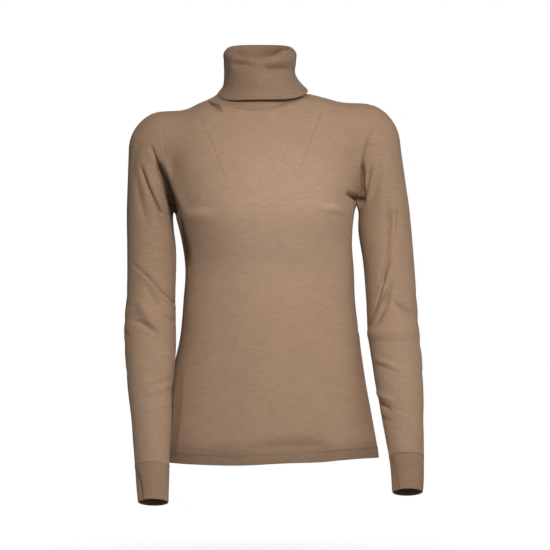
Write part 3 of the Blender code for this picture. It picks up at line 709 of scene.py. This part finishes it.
def knit(name, colour, wale=JERSEY_WALE, rib=0, painted_light=(), single=0, lines=(), inside_shade=INSIDE_SHADE):
    """Knitted wool: stitch columns and rows in the piece's own measures, with a soft nap.

    Height is the stitch column's cosine plus half the zigzag row's, plus 1.6 times the rib's.
    Painted light makes cloth paler at patches given as middles (x, z), reaches to each side and
    strengths (painted shade where negative), and cloth is paler where a doubled tube is single,
    past a distance along it. Each line (x0, z0, half width, x1, z1, half width, strength) is
    painted shade in a crease across the front, fading in and out. The last argument sets how much
    darker the inner side is painted, as shade inside the garment.
    """
    material = bpy.data.materials.new(name)
    material.use_nodes = True
    tree = material.node_tree
    shader = tree.nodes["Principled BSDF"]

    def math(operation, *values):
        return add_node(tree, "Math", *values, operation=operation)[0]

    times, plus, minus = (partial(math, name) for name in ("MULTIPLY", "ADD", "SUBTRACT"))
    over = partial(math, "DIVIDE")

    def wave(value, pitch):
        return math("COSINE", times(value, 2 * np.pi / pitch))

    def step(value, start, end):
        return add_node(tree, "MapRange", value, start, end, interpolation_type="SMOOTHSTEP")[0]

    cloth = add_node(tree, "UVMap", uv_map="cloth")["UV"]
    across, along, _ = add_node(tree, "SeparateXYZ", cloth)
    slant = times(math("ABSOLUTE", wave(across, 2 * wale)), 0.45 * COURSE)
    rows = wave(plus(along, slant), COURSE)
    height = plus(times(rows, 0.5), wave(across, wale))
    if rib:
        height = plus(height, times(wave(across, rib), 1.6))

    tone = 1.0
    for pace_across, pace_along, strength in YARN:
        place = add_node(tree, "CombineXYZ", times(across, pace_across), times(along, pace_along))
        unevenness = add_node(tree, "TexNoise", place[0], 0, 1)["Fac"]
        tone = plus(tone, times(minus(unevenness, 0.5), strength))

    place = add_node(tree, "TexCoord")["Object"]
    x, y, z = (over(axis, MM) for axis in add_node(tree, "SeparateXYZ", place))
    paler = 0.0
    # Patches of painted light, with painted shade where the strength is negative.
    for middle_x, middle_z, reach_x, reach_z, strength in painted_light:
        off_x = over(minus(x, middle_x), reach_x)
        off_z = over(minus(z, middle_z), reach_z)
        far = math("SQRT", plus(times(off_x, off_x), times(off_z, off_z)))
        paler = plus(paler, times(step(far, 1, 0), strength))
    if single:
        paler = times(step(along, -single - 8, -single + 4), 0.1)
    # Painted shade along creases, fading in and out.
    for x0, z0, width0, x1, z1, width1, strength in lines:
        length = float(np.hypot(x1 - x0, z1 - z0))
        right, up = (x1 - x0) / length, (z1 - z0) / length
        dx, dz = minus(x, x0), minus(z, z0)
        on = plus(times(dx, right), times(dz, up))
        off = minus(times(dx, up), times(dz, right))
        width = plus(times(on, (width1 - width0) / length), width0)
        ends = times(step(on, 0, 0.3 * length), step(on, length, 0.8 * length))
        inside = step(math("ABSOLUTE", over(off, width)), 1, 0)
        shade = times(times(ends, inside), step(y, 4, -8))
        tone = times(tone, minus(1.0, times(shade, strength)))

    # Painted shade on the inner side.
    side = add_node(tree, "Attribute", attribute_name="inside_shade")["Fac"]
    tone = times(tone, minus(1.0, times(side, inside_shade)))
    tints = [times(plus(tone, times(paler, gain)), tint) for tint, gain in zip(colour, PALER)]
    tree.links.new(add_node(tree, "CombineColor", *tints)[0], shader.inputs["Base Color"])
    bump = tree.nodes.new("ShaderNodeBump")
    bump.inputs["Strength"].default_value = 0.5
    bump.inputs["Distance"].default_value = 0.00012
    tree.links.new(height, bump.inputs["Height"])
    tree.links.new(bump.outputs[0], shader.inputs["Normal"])
    for socket, value in WOOL.items():
        shader.inputs[socket].default_value = value
    return material


CAMEL = (0.376, 0.242, 0.154)
JERSEY_WALL = 1.5

# Painted shade along pressed lines from the neckline to the chest, a clear pair and a faint pair
# inside it, and in the tuck beside the neckline, over the welt, down the right side and in the
# dimple.
CHEST_LINES = (
    (-97, -34, 2.2, -68, -96, 1.6, 0.18),
    (-78, -74, 1.8, -50, -146, 1.8, 0.18),
    (99, -16, 1.8, 55, -130, 2.2, 0.18),
    (56, -54, 2, 28, -112, 2, 0.1),
    (-22, -108, 2, 4, -152, 2, 0.1),
    (-84, -4, 5, -59, -31, 5, 0.4),
    (-500, -558, 22, 540, -555, 22, 0.26),
    (-128, -176, 3, -114, -276, 6, 0.6),
    (132, -157, 1.5, 172, -174, 7, 0.55),
    (146, -164, 4, 160, -186, 7, 0.6),
)
# The shade in the deep folds that run to each underarm.
UNDERARM_LINES = (
    (-172, -86, 1, -122, -194, 11, 0.7),
    (-162, -104, 1, -136, -200, 8, 0.55),
    (157, -94, 3, 157, -180, 5, 0.5),
)
# Painted light over the chest, and painted highlights on both sides of the bust.
CHEST_PAINTED_LIGHT = (
    (24, -190, 175, 200, 0.19),
    (-98, -183, 34, 10, 0.2),
    (103, -177, 24, 8, 0.2),
)
body_knit = knit(
    "body_knit", CAMEL, painted_light=CHEST_PAINTED_LIGHT, lines=CHEST_LINES + UNDERARM_LINES,
)

neck_ring = neckline()
armholes = {"right": armhole("right"), "left": armhole("left")}
round_neck = np.concatenate([neck_ring, neck_ring[:1]])
round_armholes = [np.concatenate([ring, ring[:1]]) for ring in armholes.values()]


def worn(form, grid, edges=()):
    """A grid with its fullness, creases, seams and linked edges, along the form's normals."""
    normals = outward(form, grid)
    height = relief(grid, normals) + seamed(grid, round_neck, *NECK_SEAM)
    for ring in round_armholes:
        height += seamed(grid, ring, *ARMHOLE_SEAM)
    for edge in edges:
        height += seamed(grid, edge, *LINKED_EDGE)
    return grid + normals * height[..., None]


front_grid, front_flat = panel(-1, neck_ring, armholes["right"], armholes["left"])
front = shell(
    "front_cloth", worn(panel_form, front_grid, [front_grid[-1]]),
    *np.moveaxis(front_flat, -1, 0), JERSEY_WALL, False, body_knit,
)
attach(front, "root")
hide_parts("front")


# ---- Back panel ----
# One piece of the same fine knit with a higher neckline, linked to the front at shoulders and
# sides. It hangs from the shoulders, with soft creases at the small of the back.

back_knit = knit("back_knit", CAMEL)
back_grid, back_flat = panel(1, neck_ring, armholes["right"], armholes["left"])
back_grid, back_flat = back_grid[:, ::-1], back_flat[:, ::-1]
back = shell(
    "back_cloth", worn(panel_form, back_grid, [back_grid[-1]]),
    *np.moveaxis(back_flat, -1, 0), JERSEY_WALL, False, back_knit,
)
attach(back, "root")
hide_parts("back")


# ---- Sleeves ----
# Each is one piece of the fine knit closed along the underarm and linked into its armhole. It
# hangs beside the trunk with a bent elbow, where the cloth bunches on the inner side.

HEAD_RINGS = 70
SLEEVE_RINGS = 170

# Rings fan out from the armhole to the first level one, their centres turning at one height, and
# over the crown they aim so far below the armhole.
FAN_BEND = -110.0
FAN_END = -200.0
CROWN_DROP = 12.0

# The forearm comes forward, so its rings tilt, from this share of the way down to the cuff.
FOREARM_SLOPE = 0.34
FOREARM_START = 0.2
CUFF_LINE = {"right": -577.0, "left": -563.0}

# The painted shade in the folds on each sleeve and at its inner elbow, and painted light: a
# little paler below the elbows, with painted shade down the right sleeve.
ELBOW_LINES = (
    (-188, -112, 1, -156, -190, 3.5, 0.25),
    (-212, -254, 1.8, -168, -295, 1.8, 0.14),
    (200, -294, 2, 164, -372, 6, 0.3),
    (-188, -275, 2, -124, -340, 2.2, 0.26),
    (193, -264, 2, 162, -370, 2.4, 0.2),
)
SLEEVE_PAINTED_LIGHT = (
    (20, -440, 900, 200, 0.08),
    (-176, -250, 90, 330, -0.05),
)
sleeve_knit = knit(
    "sleeve_knit", CAMEL, painted_light=SLEEVE_PAINTED_LIGHT, lines=UNDERARM_LINES + ELBOW_LINES,
)


def sleeve_form(side):
    """The form that a sleeve lies on: the arm alone below the underarm."""

    def form(points):
        low = points[..., 2] < UNDERARM_REACH
        return np.where(low, arm(side, points), worn_form(points))

    return form


def arm_rings(side, height, slope, turn, form):
    """Rings square to the arm, whose fronts are raised by the arm's forward slope."""
    rows = ARMS[side]
    out = -1.0 if side == "right" else 1.0
    height, slope = height[:, None], slope[:, None]
    centre = as_points(curve(rows, "across", height), curve(rows, "depth", height), height)
    direction = as_points(out * np.sin(turn), np.cos(turn), -slope * np.cos(turn))
    return meet(form, centre, direction)


def sleeve(side, ring):
    """A sleeve's rings: a fan from the armhole round the underarm, then down to the cuff.

    Fan rays start from a centre and aim at a point, each blended (1-s)^2, 2s(1-s), s^2 between
    the armhole, the bend and the first level ring.
    """
    rows, form, turn = ARMS[side], sleeve_form(side), ring_turn(np.pi / 2, len(ring))
    start = ring.mean(axis=0)
    turning = np.array([curve(rows, "across", FAN_BEND), start[1], FAN_BEND])
    end = np.array([curve(rows, "across", FAN_END), curve(rows, "depth", FAN_END), FAN_END])
    last = arm_rings(side, np.array([FAN_END]), np.zeros(1), turn, form)[0]
    over = ((1 + np.sin(turn)) / 2)[:, None]
    crown = as_points(last[:, 0], (ring[:, 1] + last[:, 1]) / 2, ring[:, 2] - CROWN_DROP)
    bend = (1 - over) * (ring + last) / 2 + over * crown
    share = (np.arange(1, HEAD_RINGS) / HEAD_RINGS)[:, None, None]
    parts = ((1 - share) ** 2, 2 * share * (1 - share), share**2)
    centre = parts[0] * start + parts[1] * turning + parts[2] * end
    aim = parts[0] * ring + parts[1] * bend + parts[2] * last
    head = meet(form, centre, aim - centre)
    share = np.arange(SLEEVE_RINGS + 1) / SLEEVE_RINGS
    height = FAN_END + share * (CUFF_LINE[side] - FAN_END)
    slope = FOREARM_SLOPE * ease(FOREARM_START, 1.0, share)
    return np.concatenate([ring[None], head, arm_rings(side, height, slope, turn, form)])


def length_along(grid):
    """How far along the cloth each row lies, as a mean over its columns."""
    step = np.linalg.norm(np.diff(grid, axis=0), axis=-1).mean(axis=1)
    return np.concatenate([[0], np.cumsum(step)])


def tube_measures(grid, wale):
    """Round and along measures of a tube, with its girth a whole number of stitch pairs."""
    rows, columns = grid.shape[:2]
    girth = np.linalg.norm(np.roll(grid, -1, axis=1) - grid, axis=-1).sum(axis=1).mean()
    girth = 2 * wale * round(girth / (2 * wale))
    across = np.broadcast_to(np.linspace(0, girth, columns + 1), (rows, columns + 1))
    return across, np.repeat(-length_along(grid)[:, None], columns + 1, axis=1)


sleeve_ends = {}
for side in ("right", "left"):
    grid = sleeve(side, armholes[side])
    sleeve_ends[side] = grid[-1]
    if side == "left":
        grid = grid[:, ::-1]
    across, along = tube_measures(grid, JERSEY_WALE)
    head = np.append(grid[: HEAD_RINGS + 1, :, 2], grid[: HEAD_RINGS + 1, :1, 2], axis=1)
    along[: HEAD_RINGS + 1] = along[HEAD_RINGS] + head - FAN_END
    piece = shell(
        "sleeve_" + side + "_cloth", worn(sleeve_form(side), grid, [grid[-1]]), across, along,
        JERSEY_WALL, True, sleeve_knit,
    )
    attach(piece, "root")
    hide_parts("sleeve_" + side)


# ---- Cuffs ----
# A band of firmer double knit linked round the end of each sleeve, open at the wrist. Each has
# one pressed fold down its inner side.

CAMEL_BAND = (0.31, 0.199, 0.126)
RIB_WALE = 1.2
RIB_WALL = 2.0
CUFF_RINGS = 44
CUFF_END = {"right": -631.5, "left": -616.5}
END_ROWS = (0.85, 0.35)
band_knit = knit("band_knit", CAMEL_BAND, wale=RIB_WALE, rib=2 * RIB_WALE)


def rounded_end(rows, thickness):
    """A wall's thickness row by row, drawn to a round edge at its last two rows."""
    wall = np.full((rows, 1, 1), thickness)
    wall[-2:, 0, 0] = thickness * np.array(END_ROWS)
    return wall


for side in ("right", "left"):
    turn = ring_turn(np.pi / 2, len(sleeve_ends[side]))
    height = np.linspace(CUFF_LINE[side], CUFF_END[side], CUFF_RINGS + 1)
    grid = arm_rings(side, height, FOREARM_SLOPE + 0 * height, turn, sleeve_form(side))
    grid[0] = sleeve_ends[side]
    if side == "left":
        grid = grid[:, ::-1]
    piece = shell(
        "cuff_" + side + "_cloth", worn(sleeve_form(side), grid, [grid[0]]),
        *tube_measures(grid, RIB_WALE), rounded_end(len(grid), RIB_WALL), True, band_knit,
    )
    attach(piece, "root")
    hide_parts("cuff_" + side)


# ---- Welts ----
# The turned band along the lower edge of front and back, a firmer double knit as high as a
# finger is wide, linked on and open below.

# The welt's colour is darker than the cuffs' band, as painted shade along the lower edge.
CAMEL_WELT = (0.262, 0.169, 0.108)
WELT_WALL = 2.2
WELT_ROWS = 14
welt_knit = knit("welt_knit", CAMEL_WELT, wale=RIB_WALE, rib=2 * RIB_WALE)


def lowered(points, facing):
    """Rows of points from a panel's lower edge down the form, and their unrolled places."""
    drop = np.linspace(0, WELT_HEIGHT, WELT_ROWS + 1)
    flat = np.repeat(unroll(points, facing)[None], len(drop), axis=0)
    flat[..., 1] -= drop[:, None]
    return roll_up(flat, facing), flat


for name, facing, panel_grid in (("front", -1, front_grid), ("back", 1, back_grid)):
    top = panel_grid[-1]
    grid, flat = lowered(top, facing)
    grid[:, [0, -1]] = lowered(top[[0, -1]], -1)[0]
    grid[0] = top
    piece = shell(
        "hem_" + name + "_cloth", worn(panel_form, grid, [grid[0]]),
        *np.moveaxis(flat, -1, 0), rounded_end(len(grid), WELT_WALL), False, welt_knit,
    )
    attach(piece, "root")
    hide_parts("hem_" + name)


# ---- Collar ----
# One tube of the fine knit linked to the neckline, standing up round the neck and rolled down
# over itself, so its edge flares over the foot and throws a shadow on it.

# The collar's colour is darker than the body's, partly for its doubled knit and partly as painted
# shade.
CAMEL_DOUBLE_SHADED = (0.296, 0.188, 0.12)
COLLAR_WALL = 2.0
COLLAR_ROWS = 130
SINGLE_LENGTH = 34.0
double_shaded_knit = knit("double_shaded_knit", CAMEL_DOUBLE_SHADED, single=SINGLE_LENGTH, inside_shade=0.0)

# From its foot at the neckline up the stand, over the roll and down the fall.
COLLAR = table(
    "right left front back front_height right_height left_height back_height",
    (-66, 60, -61, 56, -20, 4, 4, 21),
    (-54, 48, -53, 51, -4, 16, 16, 32),
    (-50, 43, -49, 47, 20, 36, 36, 52),
    (-47, 40, -47, 45, 44, 60, 60, 71),
    (-46, 39, -47, 45.5, 53, 70, 70, 81),
    (-52.5, 46, -51.5, 49.5, 56.5, 74.5, 74.5, 85),
    (-59, 52.5, -56.5, 53.5, 51, 69, 69, 80),
    (-59.5, 53, -57.5, 54.5, 38, 55, 55, 66),
    (-59, 51.5, -58, 56, 18, 34, 36, 51),
    (-61, 60, -60.5, 60, 2, 15, 20, 36),
    (-71, 72.5, -65.5, 66, -11.5, 0.5, 7, 23),
)

# Soft lifts of the roll: bearing in degrees round the neck (270 in front), width and rise.
ROLL_LIFTS = table("bearing width rise", (214, 18, 2.0), (262, 24, -1.0), (318, 14, 5.0))
COLLAR_CREASES = table(
    CREASE,
    (-8, 37, 24, 37, 54, 43, 7.5, 7.5, 0, 0),
    (-50, 49, -31, 45, -8, 43, 5.5, 4, 0, 0),
    (-56, 62, -55, 38, -58, 10, 5, 1.8, 0, 0),
    (-36, 26, 0, 20, 36, 26, 9, -1.2, 0, 0),
)

# Heights between which the lifts grow, shares of the length between which the fall starts, and the
# edge's soft wave: where it starts, its rise and how many there are round the neck.
LIFT_FROM, LIFT_TO = 30.0, 62.0
FALL_FROM, FALL_TO = 0.52, 0.6
EDGE_FROM = 0.85
EDGE_RISE = 0.9
EDGE_WAVES = 4


def collar(neck):
    """The collar's rings, smoothed through the table's rows at even steps along the cloth."""
    turn = ring_turn(np.pi, len(neck))
    cosine, sine = np.cos(turn), np.sin(turn)
    rings = [neck]
    for right, left, front_y, back_y, front_z, right_z, left_z, back_z in zip(*COLLAR.values()):
        across = (left + right) / 2 + (left - right) / 2 * cosine
        depth = np.where(sine < 0, -front_y, back_y) * sine
        side_z = np.where(cosine < 0, right_z, left_z)
        height = round_height(sine, cosine, front_z, side_z, back_z)
        rings.append(as_points(across, depth, height))
    rings = np.stack(rings)
    length = length_along(rings)
    even = np.linspace(0, length[-1], COLLAR_ROWS)
    return cubic(length, rings, even), even / length[-1]


grid, share = collar(neck_ring)
bearing = np.degrees(ring_turn(np.pi, grid.shape[1])) % 360
for middle, width, rise in zip(*ROLL_LIFTS.values()):
    lift = rise * np.exp(-(((bearing - middle) / width) ** 2))
    grid[..., 2] += lift * ease(LIFT_FROM, LIFT_TO, grid[..., 2])
fall = ease(FALL_FROM, FALL_TO, share)[:, None]
edge = ease(EDGE_FROM, 1, share)[:, None]
grid[..., 2] += EDGE_RISE * np.cos(np.radians(EDGE_WAVES * bearing)) * edge
across, along = tube_measures(grid, JERSEY_WALE)
away = unit((grid - np.array([NECK_MIDDLE, 0.0, 0.0])) * np.array([1.0, 1.0, 0.0]))
pushed = pressed(grid[..., 0], grid[..., 2], COLLAR_CREASES) * ease(0.1, 0.5, -away[..., 1]) * fall
grid = grid + away * pushed[..., None]
grid[0] = worn(worn_form, neck_ring)
piece = shell(
    "collar_cloth", grid, across, along, rounded_end(COLLAR_ROWS, COLLAR_WALL), True, double_shaded_knit,
)
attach(piece, "root")
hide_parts("collar")


# ---- Stage: floor, lights, world and camera ----
# A pale floor under the hanging garment that fades out round it, soft boxes in front, at the sides
# and behind, and a white surround. The camera has the photograph's level, distance and lens.
# Places and sizes are in metres here.

FLOOR_HEIGHT = -0.80
FLOOR_RADIUS = 6.0
FADE_FROM, FADE_TO = 0.25, 0.9
FLOOR_PAINT = {
    "Base Color": (0.92, 0.92, 0.92, 1.0),
    "Roughness": 0.9,
    "Emission Strength": 0.12,
}

bpy.ops.mesh.primitive_circle_add(
    vertices=96, radius=FLOOR_RADIUS, fill_type="NGON", location=(0, 0, FLOOR_HEIGHT),
)
floor = bpy.context.object
floor.name = "floor"
pale = bpy.data.materials.new("pale_floor")
pale.use_nodes = True
tree = pale.node_tree
shader = tree.nodes["Principled BSDF"]
for socket, value in FLOOR_PAINT.items():
    shader.inputs[socket].default_value = value
place = add_node(tree, "TexCoord")["Object"]
far = add_node(tree, "VectorMath", place, operation="LENGTH")["Value"]
fade = add_node(tree, "MapRange", far, FADE_FROM, FADE_TO, interpolation_type="SMOOTHSTEP")[0]
clear = add_node(tree, "BsdfTransparent")[0]
surface = add_node(tree, "MixShader", fade, shader.outputs[0], clear)[0]
tree.links.new(surface, tree.nodes["Material Output"].inputs["Surface"])
floor.data.materials.append(pale)


def soft_box(name, place, aim, size, power, spread):
    """A square area light that points at a place. Power is in watts and spread in degrees."""
    light = bpy.data.lights.new(name, "AREA")
    light.spread = np.radians(spread)
    light.shape = "SQUARE"
    light.size = size
    light.energy = power
    lamp = bpy.data.objects.new(name, light)
    lamp.location = place
    lamp.rotation_euler = (Vector(aim) - Vector(place)).to_track_quat("-Z", "Y").to_euler()
    bpy.context.scene.collection.objects.link(lamp)


soft_box("key", (0.4, -1.8, 0.85), (0.03, -0.1, -0.27), 0.5, 3.6, 60)
soft_box("fill", (0.7, -2.7, 0.3), (0.02, 0, -0.2), 1.0, 12.6, 180)
soft_box("left_side", (2.4, -0.5, 0.4), (0.02, 0, -0.3), 1.2, 8, 180)
soft_box("right_side", (-2.4, -0.5, 0.4), (0.02, 0, -0.3), 1.2, 5, 180)
soft_box("back", (0.0, 3.0, 0.5), (0.02, 0, -0.3), 1.4, 50, 180)

# The surround lights the garment faintly and shows white to the camera.
LIT_STRENGTH = 0.1
SEEN_STRENGTH = 1.0
world = bpy.data.worlds.new("studio")
bpy.context.scene.world = world
world.use_nodes = True
tree = world.node_tree
background = tree.nodes["Background"]
background.inputs["Color"].default_value = (1.0, 1.0, 1.0, 1.0)
seen = add_node(tree, "LightPath")["Is Camera Ray"]
strength = add_node(tree, "MapRange", seen, 0, 1, LIT_STRENGTH, SEEN_STRENGTH)[0]
tree.links.new(strength, background.inputs["Strength"])

lens = bpy.data.cameras.new("camera")
lens.sensor_width = 36.0
lens.lens = 144.994
camera = bpy.data.objects.new("camera", lens)
camera.location = (0.02054, -3.5, -0.28282)
camera.rotation_euler = (np.pi / 2, 0.0, 0.0)
bpy.context.scene.collection.objects.link(camera)
bpy.context.scene.camera = camera
bpy.context.scene.view_settings.view_transform = "Standard"
